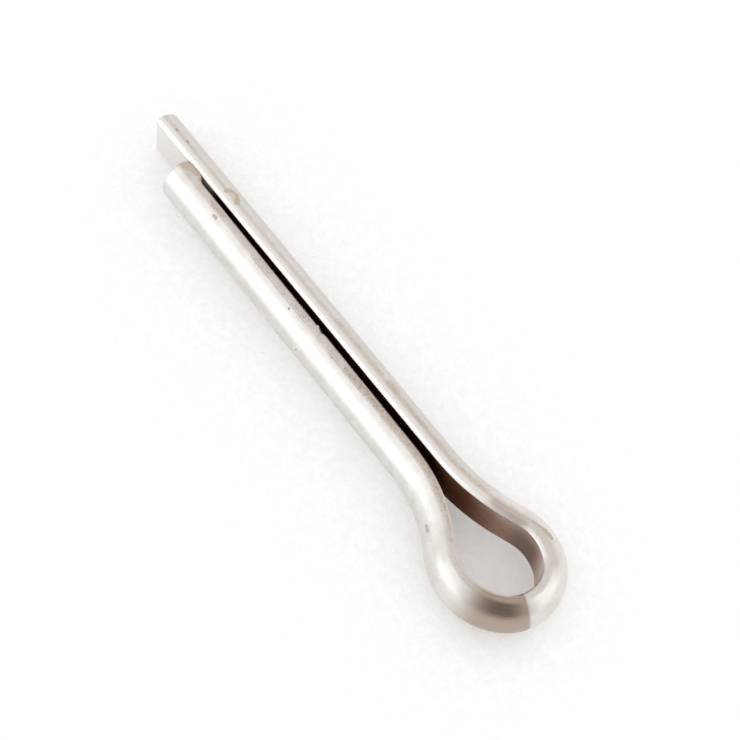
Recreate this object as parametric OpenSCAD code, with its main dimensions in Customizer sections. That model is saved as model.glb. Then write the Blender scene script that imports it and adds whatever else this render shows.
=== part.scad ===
// Cotter pin: one half-round wire folded flat to flat, with an open eye at the fold.
// The pin lies on its side. The prongs run along +X, the eye is at -X, and Z = 0 is halfway up the wire.
// The origin is on the shank's axis, where the bend of the short prong's neck ends.

/* [Wire] */
// Width of the wire, from edge to edge of its flat side
wire_w = 2.8; // [2.2:0.1:3.6]
// Thickness of the wire, from its flat side to its crown
wire_t = 1.225; // [1.05:0.025:1.45]
// Radius of the rounded edges beside the flat side
edge_r = 0.35; // [0.2:0.05:0.45]

/* [Shank] */
// Gap between the flat sides at the short prong's end
tip_gap = 0.2; // [0.04:0.02:0.6]
// Angle in degrees at which each prong leans towards the other
toe_in = 0.26; // [0:0.02:0.5]
// Straight length of the short prong
short_len = 16.8; // [8:0.2:60]
// How far the long prong reaches past the short one
extension = 2.4; // [0.6:0.1:3.2]

/* [Eye] */
// Inner radius at the end of the eye
end_r = 1.45; // [1.2:0.05:1.7]
// Distance of the end's centre from the shank's axis, towards the short prong
eye_shift = 0.2; // [0:0.05:0.4]

/* [Short prong's side of the eye] */
// Inner radius of the eye's side
short_side_r = 2.35; // [2:0.05:3]
// Angle in degrees that the end's radius reaches round towards this side
short_end_a = 41.4; // [20:0.1:60]
// Angle in degrees between the flank and the shank's axis
short_flank_a = 31.8; // [20:0.1:40]
// Straight length of the flank; a longer one leaves less room for the neck's bend
short_flank = 0.4; // [0.1:0.1:1.6]

/* [Long prong's side of the eye] */
// Inner radius of the eye's side
long_side_r = 2.1; // [1.9:0.05:3]
// Angle in degrees that the end's radius reaches round towards this side
long_end_a = 64.9; // [40:0.1:75]
// Angle in degrees between the flank and the shank's axis
long_flank_a = 21.4; // [16:0.1:36]
// Straight length of the flank; a longer one leaves less room for the neck's bend
long_flank = 0.8; // [0.1:0.1:1.6]

/* [Hidden] */
$fn = 60;

// The wire's section: two rounded edges, and a crown arc that is tangent to both
edge_y = wire_w / 2 - edge_r;
crown_r = (pow(edge_y, 2) + pow(wire_t - edge_r, 2) - pow(edge_r, 2)) / (2 * (wire_t - 2 * edge_r));
crown_x = wire_t - crown_r;
crown_a = atan2(edge_y, edge_r - crown_x);
tangent_x = crown_x + crown_r * cos(crown_a);
tangent_y = crown_r * sin(crown_a);

// Gap between the flat sides where the short prong's straight length starts
neck_gap = tip_gap + 2 * short_len * sin(toe_in);

// Distance of the flank's wide end from the shank's axis
function flank_top(shift, side_r, end_a, flank_a) =
    shift + (end_r - side_r) * sin(end_a) + side_r * cos(flank_a);
// Radius of the flat side in the neck's bend, which leads from the flank into the prong
function neck_radius(top, flank, flank_a) =
    (top - flank * sin(flank_a) - neck_gap / 2) / (cos(toe_in) - cos(flank_a));
// Distance along the shank's axis from the end's centre to the start of the straight prong
function neck_distance(side_r, end_a, flank_a, flank, neck_r) =
    (side_r - end_r) * cos(end_a) + side_r * sin(flank_a) + flank * cos(flank_a)
    + neck_r * (sin(flank_a) - sin(toe_in));

short_top = flank_top(eye_shift, short_side_r, short_end_a, short_flank_a);
short_neck_r = neck_radius(short_top, short_flank, short_flank_a);
short_neck_x = neck_distance(short_side_r, short_end_a, short_flank_a, short_flank, short_neck_r);

long_top = flank_top(-eye_shift, long_side_r, long_end_a, long_flank_a);
long_neck_r = neck_radius(long_top, long_flank, long_flank_a);
long_neck_x = neck_distance(long_side_r, long_end_a, long_flank_a, long_flank, long_neck_r);
long_len = short_len + extension + (short_neck_x - long_neck_x) / cos(toe_in);

// Size of the cutting blocks, larger than any bend
reach = 2 * (max(short_neck_r, long_neck_r, short_side_r, long_side_r) + wire_w);

// The rounded edge on the +Y side of the section, from the flat side round to the crown
module rounded_edge() {
    far = 3 * edge_r;
    intersection() {
        translate([edge_r, edge_y]) circle(r = edge_r);
        translate([edge_r, edge_y])
            polygon([[0, 0], [far * cos(crown_a), far * sin(crown_a)], [-far, far], [-far, 0]]);
    }
}

// The wire's section, with its flat side on the Y axis and its crown towards +X
module wire_section() {
    polygon([
        [0, -edge_y], [edge_r, -edge_y], [tangent_x, -tangent_y],
        [tangent_x, tangent_y], [edge_r, edge_y], [0, edge_y]
    ]);
    intersection() {
        translate([crown_x, 0]) circle(r = crown_r);
        translate([tangent_x, -wire_w / 2]) square([wire_t, wire_w]);
    }
    rounded_edge();
    mirror([0, 1]) rounded_edge();
}

// Everything in front of the YZ plane, on the +X side
module front_block() {
    translate([0, -reach, -wire_w]) cube([reach, 2 * reach, 2 * wire_w]);
}

// The wire is drawn as a chain. Each run starts at the origin and heads along +X, with its
// flat side on the XZ plane and its crown towards +Y, and its children carry on from its end.

// A block inside the wire, across the start of a run, that makes it one solid with the run before
module start_key() {
    translate([-edge_r / 2, edge_r, -edge_y / 2]) cube([edge_r, wire_t - 2 * edge_r, edge_y]);
}

// A straight run
module straight_run(length) {
    start_key();
    rotate([90, 0, 90]) linear_extrude(height = length) wire_section();
    translate([length, 0, 0]) children();
}

// A bend to the right, with the flat side inside
module flat_inside_bend(radius, turn) {
    start_key();
    translate([0, -radius, 0]) {
        intersection() {
            rotate_extrude() translate([radius, 0]) wire_section();
            front_block();
            rotate([0, 0, -turn]) mirror([1, 0, 0]) front_block();
        }
        rotate([0, 0, -turn]) translate([0, radius, 0]) children();
    }
}

// A bend to the left, with the crown inside
module crown_inside_bend(radius, turn) {
    start_key();
    translate([0, radius, 0]) {
        intersection() {
            rotate_extrude() translate([radius, 0]) mirror([1, 0]) wire_section();
            front_block();
            rotate([0, 0, turn]) mirror([1, 0, 0]) front_block();
        }
        rotate([0, 0, turn]) translate([0, -radius, 0]) children();
    }
}

// Half of the pin on the +Y side, from the eye's end at -X to a prong's end.
// The end's centre is at X = 0 and at Y = shift.
module half_pin(shift, side_r, end_a, flank_a, flank, neck_r, prong_len) {
    translate([-end_r, shift, 0]) rotate([0, 0, 90])
        flat_inside_bend(end_r, end_a)
            flat_inside_bend(side_r, 90 + flank_a - end_a)
                straight_run(flank)
                    crown_inside_bend(neck_r, flank_a - toe_in)
                        straight_run(prong_len);
}

module cotter_pin() {
    color("silver")
        translate([-short_neck_x, 0, 0]) {
            half_pin(eye_shift, short_side_r, short_end_a, short_flank_a,
                short_flank, short_neck_r, short_len);
            mirror([0, 1, 0])
                half_pin(-eye_shift, long_side_r, long_end_a, long_flank_a,
                    long_flank, long_neck_r, long_len);
        }
}

cotter_pin();
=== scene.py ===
import math

import bpy
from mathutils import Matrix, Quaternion, Vector


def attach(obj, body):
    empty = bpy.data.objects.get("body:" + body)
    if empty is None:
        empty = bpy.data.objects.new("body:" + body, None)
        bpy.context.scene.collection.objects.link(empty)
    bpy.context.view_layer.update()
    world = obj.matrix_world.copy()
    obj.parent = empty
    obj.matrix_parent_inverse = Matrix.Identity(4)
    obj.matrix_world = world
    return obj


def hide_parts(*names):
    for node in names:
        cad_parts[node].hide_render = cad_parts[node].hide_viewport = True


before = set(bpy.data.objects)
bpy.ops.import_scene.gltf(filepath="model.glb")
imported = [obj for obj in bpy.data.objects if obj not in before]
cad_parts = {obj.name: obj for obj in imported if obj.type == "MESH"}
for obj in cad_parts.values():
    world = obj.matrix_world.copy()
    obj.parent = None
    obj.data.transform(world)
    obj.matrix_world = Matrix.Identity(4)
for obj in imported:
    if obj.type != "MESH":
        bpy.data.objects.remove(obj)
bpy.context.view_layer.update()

MM = 0.001


# ---- Sizes, in millimetres ----

# The wire's section. Its rounded edges meet the flat side at a corner.
WIRE_WIDTH = 2.8
WIRE_THICKNESS = 1.225
EDGE_RADIUS = 0.35
CORNER_ANGLE = math.radians(36)

# The shank: the short prong is on the +Y side and the long one on the -Y side
TIP_GAP = 0.2
TOE_IN = math.radians(0.26)
SHORT_LENGTH = 16.8
EXTENSION = 2.4

# The eye. Its two sides share the bend at the end, and each has a bend, a flank and a neck.
END_RADIUS = 1.45
EYE_SHIFT = 0.2
SHORT_SIDE = {
    "side_radius": 2.35,
    "end_turn": math.radians(41.4),
    "flank_turn": math.radians(31.8),
    "flank_length": 0.4,
}
LONG_SIDE = {
    "side_radius": 2.1,
    "end_turn": math.radians(64.9),
    "flank_turn": math.radians(21.4),
    "flank_length": 0.8,
}

# The worn edge of a cut end, as steps of (forward, inward)
END_STEPS = ((0.03, 0.01), (0.03, 0.02), (0.02, 0.04))

# Slow unevenness all over
UNEVEN_SCALE = 1.4
UNEVEN_DEPTH = 0.010

# Places on the unrolled wire are (length, depth, width). The length is from the eye's end, and
# is more than nothing on the short side. The depth is from the flat side to the crown, and the
# width is up from the middle.

# Worn spots: place and half size on the unrolled wire, the push along X, Y and Z, and how far
# round the spot the push reaches
BURR = ((16.05, 0.02, 1.27), (0.05, 0.05, 0.05), (0.03, -0.06, 0.01), 0.12)
HOLLOW_BY_BURR = ((15.75, 0.02, 1.27), (0.05, 0.05, 0.05), (0, 0.04, -0.02), 0.2)
EYE_DENT = ((5.45, 1.03, 0.73), (0.12, 0.07, 0.07), (0.02, -0.06, -0.03), 0.25)
DIRT_LIP = ((25.4, 0.02, 1.25), (0.42, 0.10, 0.05), (0, -0.19, 0), 0.36)

# Fineness of the mesh: most distance between two rings, and points on each part of a ring
RING_STEP = 0.1
CROWN_POINTS = 38
EDGE_POINTS = 12
FLAT_POINTS = 14
MERGE_DISTANCE = 0.001

# A smaller angle than the turn at the section's corner, so that the corner stays crisp
SMOOTH_ANGLE = math.radians(33)

# Worked out from the sizes above
EDGE_Z = WIRE_WIDTH / 2 - EDGE_RADIUS
EDGE_DEPTH = EDGE_RADIUS * math.cos(CORNER_ANGLE)
FLAT_Z = EDGE_Z + EDGE_RADIUS * math.sin(CORNER_ANGLE)
CROWN_DEPTH = (((WIRE_THICKNESS - EDGE_RADIUS) ** 2 - EDGE_DEPTH ** 2 - EDGE_Z ** 2)
               / (2 * (WIRE_THICKNESS - EDGE_RADIUS - EDGE_DEPTH)))
CROWN_HALF_TURN = math.atan2(EDGE_Z, EDGE_DEPTH - CROWN_DEPTH)
NECK_GAP = TIP_GAP + 2 * SHORT_LENGTH * math.sin(TOE_IN)


def neck_sizes(side, shift):
    """The radius of a side's neck, and how far along X the neck's end is from the eye's centre."""
    radius, end, flank = side["side_radius"], side["end_turn"], side["flank_turn"]
    top = shift + (END_RADIUS - radius) * math.sin(end) + radius * math.cos(flank)
    drop = top - side["flank_length"] * math.sin(flank) - NECK_GAP / 2
    neck_radius = drop / (math.cos(TOE_IN) - math.cos(flank))
    distance = ((radius - END_RADIUS) * math.cos(end) + radius * math.sin(flank)
                + side["flank_length"] * math.cos(flank)
                + neck_radius * (math.sin(flank) - math.sin(TOE_IN)))
    return neck_radius, distance


SHORT_NECK_RADIUS, SHORT_NECK_X = neck_sizes(SHORT_SIDE, EYE_SHIFT)
LONG_NECK_RADIUS, LONG_NECK_X = neck_sizes(LONG_SIDE, -EYE_SHIFT)
LONG_LENGTH = SHORT_LENGTH + EXTENSION + (SHORT_NECK_X - LONG_NECK_X) / math.cos(TOE_IN)
EYE_CENTRE = Vector((-SHORT_NECK_X, EYE_SHIFT, 0))
EYE_END = EYE_CENTRE - Vector((END_RADIUS, 0, 0))


# ---- Modelling ----

def name_new_piece(name):
    """Names the primitive that was just added, and its mesh."""
    piece = bpy.context.object
    piece.name = name
    piece.data.name = name
    return piece


def spin_ring(centre, turn, steps, axis=(0, 0, 1)):
    """Spins what is selected about a centre given in millimetres. A left turn is positive."""
    bpy.ops.mesh.spin(steps=steps, angle=-turn, center=centre * MM, axis=axis)


def draw_section():
    """Draws the wire's closed section at the eye's end, from one point of the flat side."""
    bpy.ops.object.select_all(action="DESELECT")
    flat_start = EYE_END - Vector((0, 0, FLAT_Z))
    bpy.ops.mesh.primitive_plane_add(size=MM, location=flat_start * MM)
    wire = name_new_piece("bent_wire")
    bpy.ops.object.transform_apply(location=True, rotation=False, scale=False)
    bpy.ops.object.mode_set(mode="EDIT")
    bpy.ops.mesh.select_all(action="SELECT")
    bpy.ops.mesh.merge(type="CENTER")
    flat_step = Vector((0, 0, 2 * FLAT_Z / FLAT_POINTS)) * MM
    for _ in range(FLAT_POINTS):
        bpy.ops.mesh.extrude_region_move(TRANSFORM_OT_translate={"value": flat_step})
    edge_turn = math.pi - CROWN_HALF_TURN - CORNER_ANGLE
    upper_edge = EYE_END + Vector((-EDGE_DEPTH, 0, EDGE_Z))
    crown_centre = EYE_END + Vector((-CROWN_DEPTH, 0, 0))
    lower_edge = EYE_END + Vector((-EDGE_DEPTH, 0, -EDGE_Z))
    for centre, turn, points in ((upper_edge, edge_turn, EDGE_POINTS),
                                 (crown_centre, 2 * CROWN_HALF_TURN, CROWN_POINTS),
                                 (lower_edge, edge_turn, EDGE_POINTS)):
        spin_ring(centre, -turn, points, axis=(0, 1, 0))
    bpy.ops.mesh.select_all(action="SELECT")
    bpy.ops.mesh.remove_doubles(threshold=MERGE_DISTANCE * MM)
    bpy.ops.object.mode_set(mode="OBJECT")
    return wire


class WirePen:
    """Draws half of the pin from the selected ring. It follows the middle line of the flat side.

    side is 1 where the flat side is on the left of the way ahead, and -1 where it is on the right.
    """

    def __init__(self, heading, side):
        self.place = EYE_END.copy()
        self.heading = heading
        self.side = side
        self.length = 0.0
        self.rings = []

    def ahead(self):
        return Vector((math.cos(self.heading), math.sin(self.heading), 0))

    def to_flat(self):
        return self.side * Vector((-math.sin(self.heading), math.cos(self.heading), 0))

    def note_ring(self):
        self.rings.append((self.place.copy(), -self.to_flat(), self.length))

    def step_ahead(self, distance):
        """One more ring, straight ahead."""
        move = self.ahead() * distance
        bpy.ops.mesh.extrude_region_move(TRANSFORM_OT_translate={"value": move * MM})
        self.place += move
        self.length += distance
        self.note_ring()

    def run(self, length):
        """A straight run."""
        steps = math.ceil(length / RING_STEP)
        for _ in range(steps):
            self.step_ahead(length / steps)

    def bend(self, radius, turn, flat_inside):
        """A bend. The radius is that of the flat side, and the turn is more than nothing."""
        toward = 1 if flat_inside else -1
        centre = self.place + toward * radius * self.to_flat()
        steps = math.ceil(radius * turn / RING_STEP)
        left_turn = toward * self.side * turn
        spin_ring(centre, left_turn, steps)
        for _ in range(steps):
            self.heading += left_turn / steps
            self.length += radius * turn / steps
            self.place = centre - toward * radius * self.to_flat()
            self.note_ring()

    def cut_end(self):
        """The cut end of the prong, with its sharp edge worn off in steps, and a flat cap."""
        middle = WIRE_THICKNESS / 2
        for forward, inward in END_STEPS:
            self.step_ahead(forward)
            bpy.ops.transform.resize(
                value=(1, 1 - inward / middle, 1 - 2 * inward / WIRE_WIDTH),
                center_override=(self.place - middle * self.to_flat()) * MM)
        bpy.ops.mesh.edge_face_add()


def select_ring(wire, ring, points):
    """Selects only the points of one ring, counted from the eye's end."""
    bpy.ops.mesh.select_all(action="DESELECT")
    bpy.ops.object.mode_set(mode="OBJECT")
    for vertex in wire.data.vertices[ring * points:(ring + 1) * points]:
        vertex.select = True
    bpy.ops.object.mode_set(mode="EDIT")


def draw_half(pen, side, neck_radius, prong_length):
    """One half of the pin, from the eye's end to the prong's end."""
    side_turn = math.pi / 2 + side["flank_turn"] - side["end_turn"]
    pen.bend(END_RADIUS, side["end_turn"], flat_inside=True)
    pen.bend(side["side_radius"], side_turn, flat_inside=True)
    pen.run(side["flank_length"])
    pen.bend(neck_radius, side["flank_turn"] - TOE_IN, flat_inside=False)
    pen.run(prong_length - sum(forward for forward, _ in END_STEPS))
    pen.cut_end()


def store_unrolled_place(wire, rings, points):
    """Gives each vertex its place on the unrolled wire."""
    attribute = wire.data.attributes.new("unrolled", "FLOAT_VECTOR", "POINT")
    for index, vertex in enumerate(wire.data.vertices):
        place, to_crown, length = rings[index // points]
        from_flat = vertex.co / MM - place
        attribute.data[index].vector = (length, from_flat.dot(to_crown), from_flat.z)


def push_spot(wire, spot, half_size, push, reach):
    """Moves the points within a box of the unrolled wire, and their neighbours less and less."""
    bpy.ops.object.mode_set(mode="EDIT")
    bpy.ops.mesh.select_all(action="DESELECT")
    bpy.ops.object.mode_set(mode="OBJECT")
    unrolled = wire.data.attributes["unrolled"].data
    for vertex in wire.data.vertices:
        away = unrolled[vertex.index].vector - Vector(spot)
        vertex.select = all(abs(away[axis]) <= half_size[axis] for axis in range(3))
    bpy.ops.object.mode_set(mode="EDIT")
    bpy.ops.transform.translate(value=Vector(push) * MM, use_proportional_edit=True,
                                use_proportional_connected=True, proportional_size=reach * MM,
                                proportional_edit_falloff="SMOOTH")
    bpy.ops.object.mode_set(mode="OBJECT")


def wear_wire(wire):
    """Slow unevenness all over, and the worn spots."""
    unevenness = bpy.data.textures.new("unevenness", "CLOUDS")
    unevenness.noise_scale = UNEVEN_SCALE * MM
    modifier = wire.modifiers.new("unevenness", "DISPLACE")
    modifier.texture = unevenness
    modifier.strength = UNEVEN_DEPTH * MM
    bpy.ops.object.modifier_apply(modifier=modifier.name)
    for worn_spot in (BURR, HOLLOW_BY_BURR, EYE_DENT, DIRT_LIP):
        push_spot(wire, *worn_spot)


def bend_wire():
    """The whole pin: one closed piece of wire."""
    wire = draw_section()
    points = len(wire.data.vertices)
    bpy.ops.object.mode_set(mode="EDIT")
    short = WirePen(math.pi / 2, -1)
    short.note_ring()
    draw_half(short, SHORT_SIDE, SHORT_NECK_RADIUS, SHORT_LENGTH)
    select_ring(wire, 0, points)
    long = WirePen(-math.pi / 2, 1)
    draw_half(long, LONG_SIDE, LONG_NECK_RADIUS, LONG_LENGTH)
    bpy.ops.mesh.select_all(action="SELECT")
    bpy.ops.mesh.normals_make_consistent(inside=False)
    bpy.ops.object.mode_set(mode="OBJECT")
    long_rings = [(place, crown, -length) for place, crown, length in long.rings]
    store_unrolled_place(wire, short.rings + long_rings, points)
    wear_wire(wire)
    bpy.ops.object.shade_smooth_by_angle(angle=SMOOTH_ANGLE)
    return wire


# ---- Shader building ----

# The mix node has sockets for each kind of value. These are the ones for colours.
MIX_SHARE = 0
MIX_FIRST_COLOUR = 6
MIX_SECOND_COLOUR = 7
MIX_RESULT_COLOUR = 2


class Shader:
    """Adds nodes to one node tree. Inputs given as sockets are linked, and others are set."""

    def __init__(self, tree):
        self.tree = tree
        tree.nodes.clear()

    def fill(self, socket, value):
        if isinstance(value, bpy.types.NodeSocket):
            self.tree.links.new(value, socket)
        else:
            socket.default_value = value

    def node(self, kind, inputs=None, **settings):
        node = self.tree.nodes.new(kind)
        for name, value in settings.items():
            setattr(node, name, value)
        for name, value in (inputs or {}).items():
            self.fill(node.inputs[name], value)
        return node

    def math(self, operation, first, second=0.0, third=0.0, clamp=False):
        inputs = {0: first, 1: second, 2: third}
        return self.node("ShaderNodeMath", inputs, operation=operation, use_clamp=clamp).outputs[0]

    def product(self, first, *others):
        for other in others:
            first = self.math("MULTIPLY", first, other)
        return first

    def vector_node(self, operation, inputs):
        return self.node("ShaderNodeVectorMath", inputs, operation=operation)

    def vector_math(self, operation, first, second):
        return self.vector_node(operation, {0: first, 1: second}).outputs["Vector"]

    def fade(self, value, start, end, low=0.0, high=1.0):
        """Goes smoothly from low to high as the value goes from start to end."""
        inputs = {"Value": value, "From Min": start, "From Max": end, "To Min": low, "To Max": high}
        node = self.node("ShaderNodeMapRange", inputs, interpolation_type="SMOOTHSTEP")
        return node.outputs["Result"]

    def mix_colour(self, share, first, second):
        node = self.node("ShaderNodeMix", data_type="RGBA")
        self.fill(node.inputs[MIX_SHARE], share)
        self.fill(node.inputs[MIX_FIRST_COLOUR], first)
        self.fill(node.inputs[MIX_SECOND_COLOUR], second)
        return node.outputs[MIX_RESULT_COLOUR]

    def noise_node(self, place, scale, detail, roughness):
        inputs = {"Vector": place, "Scale": scale, "Detail": detail, "Roughness": roughness}
        return self.node("ShaderNodeTexNoise", inputs)

    def noise(self, place, scale, detail, roughness):
        return self.noise_node(place, scale, detail, roughness).outputs["Fac"]

    def bump(self, height, strength, distance):
        """The bumped normal. The distance is in millimetres."""
        inputs = {"Height": height, "Strength": strength, "Distance": distance * MM}
        return self.node("ShaderNodeBump", inputs).outputs[0]


def new_material(name):
    material = bpy.data.materials.new(name)
    material.use_nodes = True
    return material, Shader(material.node_tree)


# ---- Plated steel ----

# A fade is (start, end), followed by its values at both where they aren't 0 and 1. Its lengths,
# depths and widths are those of the unrolled wire.
# A streak is (start, end, half width) on the unrolled wire. It fades out over its border.

# Noises on the unrolled wire: scale, detail and roughness
LINES_NOISE = (13.0, 3.0, 0.6)
LINES_STRETCH = (0.08, 1, 1)
MOTTLE_NOISE = (1.6, 3.0, 0.5)
SPECKLE_NOISE = (9.0, 4.0, 0.7)
FRAYING_NOISE = (7.0, 3.0, 0.5)
FRAYING_MIDDLE = (0.5, 0.5, 0.5)
FRAYING_WIDTH = (0.16, 0.16, 0.16)

# Plating, with duller places and fine speckles
PLATING = (0.77, 0.745, 0.72, 1)
PLATING_DULL = (0.70, 0.67, 0.64, 1)
PLATING_SPECKLE = (0.52, 0.45, 0.39, 1)
DULL_MOTTLE = (0.35, 0.7)
SPECKLE_SHARE = (0.54, 0.78, 0.0, 0.6)

# The stain on the rim of the eye's end, by length
RIM_TARNISH = (0.45, 0.36, 0.295, 1)
RIM_STAIN_START = (0.38, 0.48)
RIM_STAIN_END = (1.8, 2.9, 1.0, 0.0)

# Painted highlight on the long side's edge beside the gap, and painted shade on its outer side
PAINTED_HIGHLIGHT = (0.97, 0.96, 0.945, 1)
LONG_SIDE_PAINTED_SHADE = (0.62, 0.59, 0.56, 1)
LONG_SIDE_PAINT_START = (-4.6, -5.4)
EDGE_HIGHLIGHT_DEPTH = (0.26, 0.50, 0.8, 0.0)
PAINTED_SHADE_DEPTH = (0.60, 0.85, 0.0, 0.8)

# Painted highlight on the short prong's outer side, by length and by depth
SIDE_HIGHLIGHT_LENGTH = (6.0, 9.0)
SIDE_HIGHLIGHT_START_DEPTH = (0.66, 0.84)
SIDE_HIGHLIGHT_END_DEPTH = (1.0, 1.16, 0.85, 0.0)

# A band of painted shade on the long side's shoulder
SHOULDER_PAINTED_SHADE = (0.62, 0.55, 0.51, 1)
SHOULDER_STREAK = ((-4.7, 0.32, 1.40), (-3.3, 0.15, 1.37), 0.2)
SHOULDER_BORDER = 0.3

# Brown tints along both sides, broken up by speckles
BROWN_TINT = (0.50, 0.39, 0.28, 1)
TINT_STREAKS = (
    ((-15.5, 0.62, 1.28), (-12.4, 0.62, 1.28), 0.08),
    ((-11.8, 0.64, 1.27), (-11.3, 0.62, 1.28), 0.20),
    ((-11.0, 0.60, 1.31), (-5.4, 0.62, 1.29), 0.12),
    ((13.6, 0.30, 1.40), (11.0, 0.18, 1.38), 0.14),
    ((11.0, 0.22, 1.39), (6.0, 0.14, 1.37), 0.16),
    ((6.0, 0.14, 1.37), (4.6, 0.16, 1.36), 0.06),
)
TINT_BORDER = 0.4
TINT_SHARE = (0.35, 0.65, 0.2, 0.9)

# Painted shade in the dent in the eye's side
DENT_PAINTED_SHADE = (0.46, 0.42, 0.39, 1)
DENT_STREAK = ((5.58, 1.05, 0.71), (5.36, 1.05, 0.71), 0.10)
DENT_BORDER = 0.2

# Dark grain beside the gap, and drawn lines, both along the short prong
DRAWN_LINE = (0.36, 0.30, 0.26, 1)
GRAIN_STREAK = ((20.5, 0.27, 1.40), (11.5, 0.25, 1.40), 0.12)
GRAIN_BORDER = 0.16
GRAIN_SHARE = (0.50, 0.66, 0.0, 0.6)
LINE_STREAKS = (
    ((20.5, 0.42, 1.37), (12.5, 0.42, 1.37), 0.02),
    ((17.0, 0.51, 1.33), (13.5, 0.47, 1.35), 0.015),
    ((17.5, 1.22, -0.06), (9.0, 1.22, -0.06), 0.03),
)
LINE_BORDER = 0.035
LINE_SHARE = (0.32, 0.62, 0.4, 0.65)

# Tarnish covers the flat side up to its corners, where it is rubbed off. The long side's and the
# short side's meet at the eye's end.
FLAT_SKIN = (0.0, 0.03, 1.0, 0.0)
CORNER_RUB = (FLAT_Z - 0.05, FLAT_Z - 0.01, 1.0, 0.0)
SIDES_MEET = (-0.5, 0.5)

# The long side's tarnish from the eye's end: taupe, a dark band, brown with dark mottle, and
# darker through the neck into the gap. The taupe at the end and toward the top is painted light,
# and the darkening through the neck into the gap is painted shade.
EYE_TAUPE_AND_LIGHT = (0.64, 0.525, 0.46, 1)
EYE_DARK_BAND = (0.245, 0.178, 0.152, 1)
EYE_BROWN = (0.385, 0.265, 0.20, 1)
NECK_TARNISH_AND_SHADE = (0.145, 0.062, 0.035, 1)
GAP_TARNISH_AND_SHADE = (0.032, 0.011, 0.004, 1)
LIT_TAUPE_END = (1.2, 2.3, 1.0, 0.0)
LIT_TAUPE_WIDTH = (0.2, 1.2, 0.0, 0.3)
DARK_BAND_END = (3.0, 3.9)
DARK_MOTTLE = (0.45, 0.62, 0.0, 0.45)
BROWN_END = (3.6, 6.2)
NECK_END = (6.8, 8.3)

# The short side's tarnish, up to where the gap's tarnish and painted shade begin
SHORT_SIDE_TARNISH = (0.66, 0.59, 0.54, 1)
SHORT_SIDE_END = (3.0, 7.0)

# The gap's tarnish and painted shade end in dirt. The long prong's flat side is clean and half matt
# past it, and painted pale there as painted light.
GAP_END = (23.4, 24.6)
LIT_END_PLATING = (0.80, 0.775, 0.755, 1)
LONG_FLAT_START = (-25.9, -25.5)
LONG_FLAT_CLEAN_AND_LIT = (*LONG_FLAT_START, 1.0, 0.0)
LONG_FLAT_MATT = (*LONG_FLAT_START, 0.5, 1.0)

# A pale matt band of painted light on the short side's corner around the eye, by length and by
# depth
RIM_PAINTED_LIGHT = (0.61, 0.55, 0.505, 1)
RIM_LIGHT_START = (0.3, 1.2)
RIM_LIGHT_END = (6.5, 8.5, 1.0, 0.0)
RIM_LIGHT_DEPTH = (0.05, 0.16, 0.85, 0.0)

# Patches of dirt
GRIME = (0.46, 0.38, 0.31, 1)
GRIME_STREAKS = (
    # At the short prong's end
    ((26.1, 0.26, 1.40), (25.55, 0.14, 1.38), 0.14),
    ((25.55, 0.10, 1.36), (24.85, 0.0, 1.32), 0.14),
    ((26.1, 0.0, 1.2), (24.85, 0.0, 1.2), 0.22),
    # A strip beside the gap, and a spot
    ((23.62, 0.22, 1.38), (23.28, 0.27, 1.38), 0.09),
    ((23.15, 0.22, 1.39), (22.75, 0.20, 1.39), 0.12),
    ((23.03, 0.55, 1.35), (22.88, 0.56, 1.34), 0.085),
    # A hook on the long prong
    ((-23.40, 0.40, 1.39), (-23.35, 0.64, 1.26), 0.11),
    ((-23.35, 0.64, 1.26), (-23.08, 0.74, 1.18), 0.12),
    ((-23.08, 0.74, 1.18), (-22.80, 0.62, 1.28), 0.14),
    ((-22.80, 0.62, 1.28), (-22.66, 0.45, 1.38), 0.15),
    # A thin stain on the long side's shoulder
    ((-3.9, 0.36, 1.40), (-3.0, 0.44, 1.37), 0.04),
    ((-3.0, 0.46, 1.36), (-2.6, 0.58, 1.30), 0.09),
    ((-2.55, 0.60, 1.29), (-2.27, 0.70, 1.21), 0.155),
)
GRIME_BORDER = 0.04

# Dark specks: two near the long prong's end and three on the short prong
SPECK = (0.33, 0.27, 0.23, 1)
SPECK_STREAKS = (
    ((-27.2, 0.47, 1.38), (-27.1, 0.48, 1.38), 0.07),
    ((-26.45, 0.51, 1.36), (-26.38, 0.52, 1.36), 0.08),
    ((17.50, 0.56, 1.33), (17.48, 0.57, 1.33), 0.065),
    ((16.04, 1.19, 0.34), (16.02, 1.19, 0.34), 0.05),
    ((14.52, 0.49, 1.37), (14.50, 0.49, 1.37), 0.04),
)
SPECK_BORDER = 0.07

# The surface. Drawn lines and dirt make it rougher, and matt places have no shine of their own.
LINES_ROUGHNESS = (0.3, 0.75, 0.30, 0.40)
DIRT_ROUGHNESS = 0.25
MATT_SHINE = 0.0
LINES_BUMP = 0.12
LINES_BUMP_DEPTH = 0.02


def streak(shader, place, start, end, half_width, border):
    """1 near the line from start to end, and 0 far from it. half_width is amid the border."""
    start, end = Vector(start), Vector(end)
    line = end - start
    from_start = shader.vector_math("SUBTRACT", place, start)
    share_of_line = {0: from_start, 1: line / line.length_squared}
    along = shader.vector_node("DOT_PRODUCT", share_of_line).outputs["Value"]
    along = shader.math("MULTIPLY", along, 1.0, clamp=True)
    foot = shader.vector_node("SCALE", {0: line, "Scale": along}).outputs["Vector"]
    distance = shader.vector_node("DISTANCE", {0: from_start, 1: foot}).outputs["Value"]
    return shader.fade(distance, half_width - border / 2, half_width + border / 2, 1.0, 0.0)


def all_streaks(shader, place, streaks, border):
    share = 0.0
    for start, end, half_width in streaks:
        one = streak(shader, place, start, end, half_width, border)
        share = shader.math("MAXIMUM", share, one)
    return share


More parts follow.
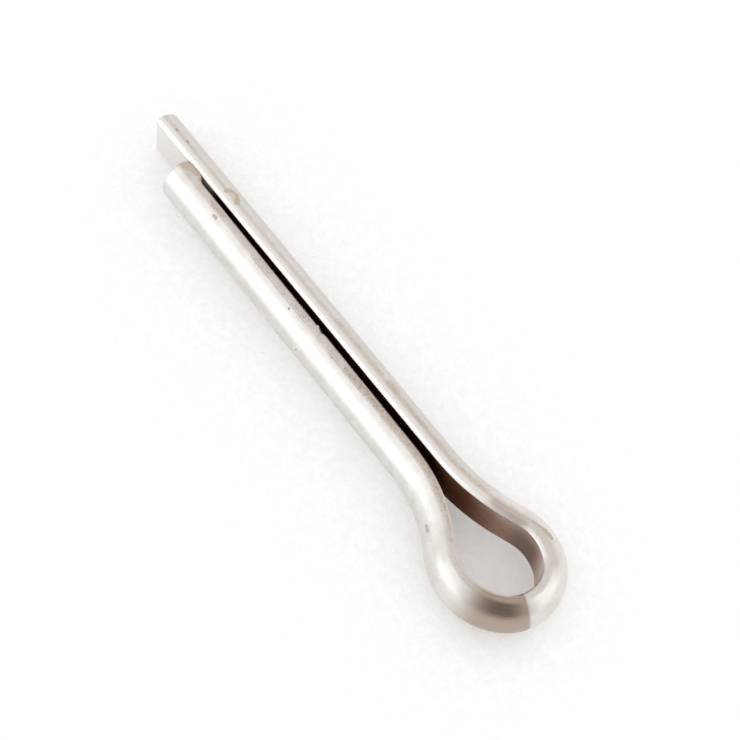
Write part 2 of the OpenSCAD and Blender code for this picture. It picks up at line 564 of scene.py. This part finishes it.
class WirePattern:
    """Where a point is on the unrolled wire, and the noises of the wire's finish there."""

    def __init__(self, shader):
        attribute = shader.node("ShaderNodeAttribute", attribute_name="unrolled")
        self.place = attribute.outputs["Vector"]
        parts = shader.node("ShaderNodeSeparateXYZ", {0: self.place}).outputs
        self.along = parts["X"]
        self.length = shader.math("ABSOLUTE", self.along)
        self.depth = parts["Y"]
        self.width = parts["Z"]
        stretched = shader.vector_math("MULTIPLY", self.place, LINES_STRETCH)
        self.lines = shader.noise(stretched, *LINES_NOISE)
        self.mottle = shader.noise(self.place, *MOTTLE_NOISE)
        self.speckle = shader.noise(self.place, *SPECKLE_NOISE)
        fraying = shader.noise_node(self.place, *FRAYING_NOISE).outputs["Color"]
        shift = shader.vector_math("SUBTRACT", fraying, FRAYING_MIDDLE)
        shift = shader.vector_math("MULTIPLY", shift, FRAYING_WIDTH)
        self.frayed = shader.vector_math("ADD", self.place, shift)


def bare_plating(shader, wire):
    """Nickel-grey plating with duller places, speckles and the stain on the eye's rim."""
    colour = shader.mix_colour(shader.fade(wire.mottle, *DULL_MOTTLE), PLATING, PLATING_DULL)
    speckles = shader.fade(wire.speckle, *SPECKLE_SHARE)
    colour = shader.mix_colour(speckles, colour, PLATING_SPECKLE)
    rim_stain = shader.product(shader.fade(wire.along, *RIM_STAIN_START),
                               shader.fade(wire.along, *RIM_STAIN_END))
    return shader.mix_colour(rim_stain, colour, RIM_TARNISH)


def paint_highlights_and_shade(shader, wire, colour):
    """Paints a highlight on the gap's edge and the short prong's side, and paints shade on the long
    prong's side.
    """
    long_side_paint = shader.fade(wire.along, *LONG_SIDE_PAINT_START)
    edge_highlight = shader.product(long_side_paint, shader.fade(wire.depth, *EDGE_HIGHLIGHT_DEPTH))
    side_highlight = shader.product(shader.fade(wire.along, *SIDE_HIGHLIGHT_LENGTH),
                              shader.fade(wire.depth, *SIDE_HIGHLIGHT_START_DEPTH),
                              shader.fade(wire.depth, *SIDE_HIGHLIGHT_END_DEPTH))
    # Painted highlight: paler plating on the gap's edge and the short prong's side
    highlight_share = shader.math("MAXIMUM", edge_highlight, side_highlight)
    colour = shader.mix_colour(highlight_share, colour, PAINTED_HIGHLIGHT)
    # Painted shade: darker plating on the long prong's outer side
    shade_share = shader.product(long_side_paint, shader.fade(wire.depth, *PAINTED_SHADE_DEPTH))
    return shader.mix_colour(shade_share, colour, LONG_SIDE_PAINTED_SHADE)


def mark_plating(shader, wire, colour):
    """Adds the painted shade on the shoulder, the brown tints, the painted shade in the dent, the
    grain and the drawn lines.
    """
    # Painted shade on the long side's shoulder
    shoulder_shade = streak(shader, wire.frayed, *SHOULDER_STREAK, SHOULDER_BORDER)
    colour = shader.mix_colour(shoulder_shade, colour, SHOULDER_PAINTED_SHADE)
    tints = shader.product(all_streaks(shader, wire.frayed, TINT_STREAKS, TINT_BORDER),
                           shader.fade(wire.speckle, *TINT_SHARE))
    colour = shader.mix_colour(tints, colour, BROWN_TINT)
    # Painted shade in the hollow of the dent
    dent_shade = streak(shader, wire.frayed, *DENT_STREAK, DENT_BORDER)
    colour = shader.mix_colour(dent_shade, colour, DENT_PAINTED_SHADE)
    grain = shader.product(streak(shader, wire.frayed, *GRAIN_STREAK, GRAIN_BORDER),
                           shader.fade(wire.speckle, *GRAIN_SHARE))
    colour = shader.mix_colour(grain, colour, DRAWN_LINE)
    lines = shader.product(all_streaks(shader, wire.place, LINE_STREAKS, LINE_BORDER),
                           shader.fade(wire.mottle, *LINE_SHARE))
    return shader.mix_colour(lines, colour, DRAWN_LINE)


def eye_brown(shader, wire):
    """Tarnish on the eye's flat side: taupe at the end, then a dark band, then brown. The taupe at
    the end and toward the top is painted light.
    """
    after_band = shader.fade(wire.length, *DARK_BAND_END)
    colour = shader.mix_colour(after_band, EYE_DARK_BAND, EYE_BROWN)
    colour = shader.mix_colour(shader.fade(wire.mottle, *DARK_MOTTLE), colour, EYE_DARK_BAND)
    # Painted light: paler toward the top of the flat and at the eye's end
    colour = shader.mix_colour(shader.fade(wire.width, *LIT_TAUPE_WIDTH), colour, EYE_TAUPE_AND_LIGHT)
    return shader.mix_colour(shader.fade(wire.length, *LIT_TAUPE_END), colour, EYE_TAUPE_AND_LIGHT)


def flat_colour(shader, wire):
    """Tarnish on the flat side, with painted shade that makes it nearly black in the gap, and clean
    with painted light on the long prong's end.
    """
    long_side = eye_brown(shader, wire)
    # Painted shade: darker through the neck and nearly black in the gap
    long_side = shader.mix_colour(shader.fade(wire.length, *BROWN_END), long_side, NECK_TARNISH_AND_SHADE)
    long_side = shader.mix_colour(shader.fade(wire.length, *NECK_END), long_side, GAP_TARNISH_AND_SHADE)
    in_gap = shader.fade(wire.length, *SHORT_SIDE_END)
    short_side = shader.mix_colour(in_gap, SHORT_SIDE_TARNISH, GAP_TARNISH_AND_SHADE)
    colour = shader.mix_colour(shader.fade(wire.along, *SIDES_MEET), long_side, short_side)
    colour = shader.mix_colour(shader.fade(wire.length, *GAP_END), colour, GRIME)
    # Painted light: the long prong's clean flat end is painted pale
    return shader.mix_colour(shader.fade(wire.along, *LONG_FLAT_CLEAN_AND_LIT), colour, LIT_END_PLATING)


def plated_steel():
    """Worn nickel-grey plating on drawn wire, with a tarnished flat side, dirt, and painted light
    and shade.
    """
    material, shader = new_material("plated_steel")
    wire = WirePattern(shader)
    on_flat = shader.product(shader.fade(wire.depth, *FLAT_SKIN),
                             shader.fade(wire.width, *CORNER_RUB))
    off_flat = shader.math("SUBTRACT", 1.0, on_flat)
    grime = all_streaks(shader, wire.frayed, GRIME_STREAKS, GRIME_BORDER)
    specks = all_streaks(shader, wire.frayed, SPECK_STREAKS, SPECK_BORDER)
    # Painted light: a pale matt band on the short side's corner around the eye
    rim_light = shader.product(shader.fade(wire.along, *RIM_LIGHT_START),
                          shader.fade(wire.along, *RIM_LIGHT_END),
                          shader.fade(wire.depth, *RIM_LIGHT_DEPTH), off_flat)

    plating = paint_highlights_and_shade(shader, wire, bare_plating(shader, wire))
    plating = mark_plating(shader, wire, plating)
    colour = shader.mix_colour(on_flat, plating, flat_colour(shader, wire))
    for share, added_colour in ((grime, GRIME), (specks, SPECK), (rim_light, RIM_PAINTED_LIGHT)):
        colour = shader.mix_colour(share, colour, added_colour)

    dirt = shader.math("MAXIMUM", grime, specks)
    matt = shader.product(on_flat, shader.fade(wire.along, *LONG_FLAT_MATT))
    for share in (dirt, rim_light):
        matt = shader.math("MAXIMUM", matt, share)
    rough = shader.fade(wire.lines, *LINES_ROUGHNESS)
    rough = shader.math("MULTIPLY_ADD", dirt, DIRT_ROUGHNESS, rough)
    steel = shader.node("ShaderNodeBsdfPrincipled", {
        "Base Color": colour,
        "Metallic": shader.math("SUBTRACT", 1.0, matt),
        "Roughness": rough,
        "Specular IOR Level": MATT_SHINE,
        "Normal": shader.bump(wire.lines, LINES_BUMP, LINES_BUMP_DEPTH),
    })
    shader.node("ShaderNodeOutputMaterial", {"Surface": steel.outputs[0]})
    return material


# ---- Floor, light and camera ----

# White paper. Its small glow keeps the shadows on it light.
PAPER = (0.675, 0.675, 0.67, 1)
PAPER_FIBRE = (0.63, 0.63, 0.625, 1)
PAPER_GLOW = (0.24, 0.235, 0.23, 1)
PAPER_ROUGHNESS = 0.9
FIBRE_NOISE = (3200.0, 4.0, 0.6)
FIBRE_FADE = (0.3, 0.7)
FIBRE_BUMP = 0.6
FIBRE_BUMP_DEPTH = 0.06

# The camera's distance, lens and target are in millimetres
CAMERA_AZIMUTH = math.radians(129.5)
CAMERA_ELEVATION = math.radians(66.9)
CAMERA_ROLL = math.radians(13.45)
CAMERA_DISTANCE = 100.0
CAMERA_LENS = 108.7
CAMERA_TARGET = Vector((4.64, -1.30, -WIRE_WIDTH / 2))

# In metres
FLOOR_SIZE = 4.0
CAMERA_CLIP_START = 0.01

# What the camera sees past the floor, and the dome that lights the floor, which is brighter above
# the range of elevation given in degrees
BACKDROP = (1, 1, 1, 1)
DOME_SIDE = (1.18, 1.18, 1.18, 1)
DOME_TOP = (1.26, 1.26, 1.26, 1)
DOME_RISE = (40, 60)

# What the metal mirrors: ranges of azimuth and elevation in degrees, softness and colour.
# Azimuth is from the camera's side.
STUDIO_WALL = (0.82, 0.795, 0.77, 1)
STUDIO_PATCHES = (
    # The dim back, in two rows because it crosses 180 degrees
    ((118, 192), (-10, 58), 10, (0.77, 0.72, 0.675, 1)),
    ((-200, -172), (-10, 58), 10, (0.77, 0.72, 0.675, 1)),
    # A softbox with a brighter lower half, and another softbox
    ((-90, -37), (-8, 66), 12, (1.17, 1.18, 1.18, 1)),
    ((-80, -43), (-14, 20), 8, (1.9, 1.92, 1.93, 1)),
    ((66, 104), (-6, 60), 10, (1.46, 1.47, 1.47, 1)),
    # The dark side, where the camera is
    ((-12, 36), (-25, 85), 11, (0.15, 0.115, 0.12, 1)),
    # The ceiling
    ((-200, 200), (84, 100), 5, (0.50, 0.48, 0.46, 1)),
)

# Light paths that have met nothing matt have a diffuse depth of 0, and others have 1 or more
BEFORE_MATT = 0.5


def white_paper():
    material, shader = new_material("white_paper")
    place = shader.node("ShaderNodeTexCoord").outputs["Object"]
    fibres = shader.noise(place, *FIBRE_NOISE)
    paper = shader.node("ShaderNodeBsdfPrincipled", {
        "Base Color": shader.mix_colour(shader.fade(fibres, *FIBRE_FADE), PAPER, PAPER_FIBRE),
        "Roughness": PAPER_ROUGHNESS,
        "Normal": shader.bump(fibres, FIBRE_BUMP, FIBRE_BUMP_DEPTH),
        "Emission Color": PAPER_GLOW,
        "Emission Strength": 1.0,
    })
    shader.node("ShaderNodeOutputMaterial", {"Surface": paper.outputs[0]})
    return material


def add_floor():
    bpy.ops.object.select_all(action="DESELECT")
    bpy.ops.mesh.primitive_plane_add(size=FLOOR_SIZE)
    floor = name_new_piece("paper_floor")
    bpy.ops.object.mode_set(mode="EDIT")
    bpy.ops.mesh.select_all(action="SELECT")
    bpy.ops.transform.translate(value=(0, 0, -WIRE_WIDTH / 2 * MM))
    bpy.ops.object.mode_set(mode="OBJECT")
    floor.data.materials.append(white_paper())


def direction(azimuth, elevation):
    return Vector((math.cos(elevation) * math.cos(azimuth),
                   math.cos(elevation) * math.sin(azimuth), math.sin(elevation)))


def add_camera():
    camera = bpy.data.objects.new("camera", bpy.data.cameras.new("camera"))
    bpy.context.scene.collection.objects.link(camera)
    camera.data.lens = CAMERA_LENS
    camera.data.clip_start = CAMERA_CLIP_START
    toward = direction(CAMERA_AZIMUTH, CAMERA_ELEVATION)
    camera.location = (CAMERA_TARGET + toward * CAMERA_DISTANCE) * MM
    aim = (-toward).to_track_quat("-Z", "Y")
    camera.rotation_mode = "QUATERNION"
    camera.rotation_quaternion = aim @ Quaternion((0, 0, 1), CAMERA_ROLL)
    bpy.context.scene.camera = camera


def sky_band(shader, angle, low, high, softness):
    """1 where an angle in degrees is between low and high, with soft borders."""
    return shader.product(shader.fade(angle, low - softness, low + softness),
                          shader.fade(angle, high - softness, high + softness, 1.0, 0.0))


def mirrored_studio(shader, azimuth, elevation):
    """The studio that the metal mirrors, with two softboxes and a dark side."""
    colour = STUDIO_WALL
    for azimuths, elevations, softness, patch_colour in STUDIO_PATCHES:
        patch = shader.product(sky_band(shader, azimuth, *azimuths, softness),
                               sky_band(shader, elevation, *elevations, softness))
        colour = shader.mix_colour(patch, colour, patch_colour)
    return colour


def add_studio_light():
    """A soft dome for the floor, the studio for the metal, and white for the camera."""
    world = bpy.data.worlds.new("studio")
    bpy.context.scene.world = world
    world.use_nodes = True
    shader = Shader(world.node_tree)
    way = shader.node("ShaderNodeTexCoord").outputs["Generated"]
    turn = {"Vector": way, "Angle": -CAMERA_AZIMUTH}
    turned = shader.node("ShaderNodeVectorRotate", turn, rotation_type="Z_AXIS").outputs[0]
    parts = shader.node("ShaderNodeSeparateXYZ", {0: turned}).outputs
    azimuth = shader.math("DEGREES", shader.math("ARCTAN2", parts["Y"], parts["X"]))
    elevation = shader.math("DEGREES", shader.math("ARCSINE", parts["Z"]))
    dome = shader.mix_colour(shader.fade(elevation, *DOME_RISE), DOME_SIDE, DOME_TOP)
    rays = shader.node("ShaderNodeLightPath").outputs
    before_matt = shader.math("LESS_THAN", rays["Diffuse Depth"], BEFORE_MATT)
    mirror_ray = shader.product(rays["Is Glossy Ray"], before_matt)
    light = shader.mix_colour(mirror_ray, dome, mirrored_studio(shader, azimuth, elevation))
    light = shader.mix_colour(rays["Is Camera Ray"], light, BACKDROP)
    background = shader.node("ShaderNodeBackground", {"Color": light, "Strength": 1.0})
    shader.node("ShaderNodeOutputWorld", {"Surface": background.outputs[0]})


# ---- The scene ----

wire = bend_wire()
wire.data.materials.append(plated_steel())
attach(wire, "root")
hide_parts("cotter_pin")
add_floor()
add_studio_light()
add_camera()
bpy.context.scene.view_settings.view_transform = "Standard"
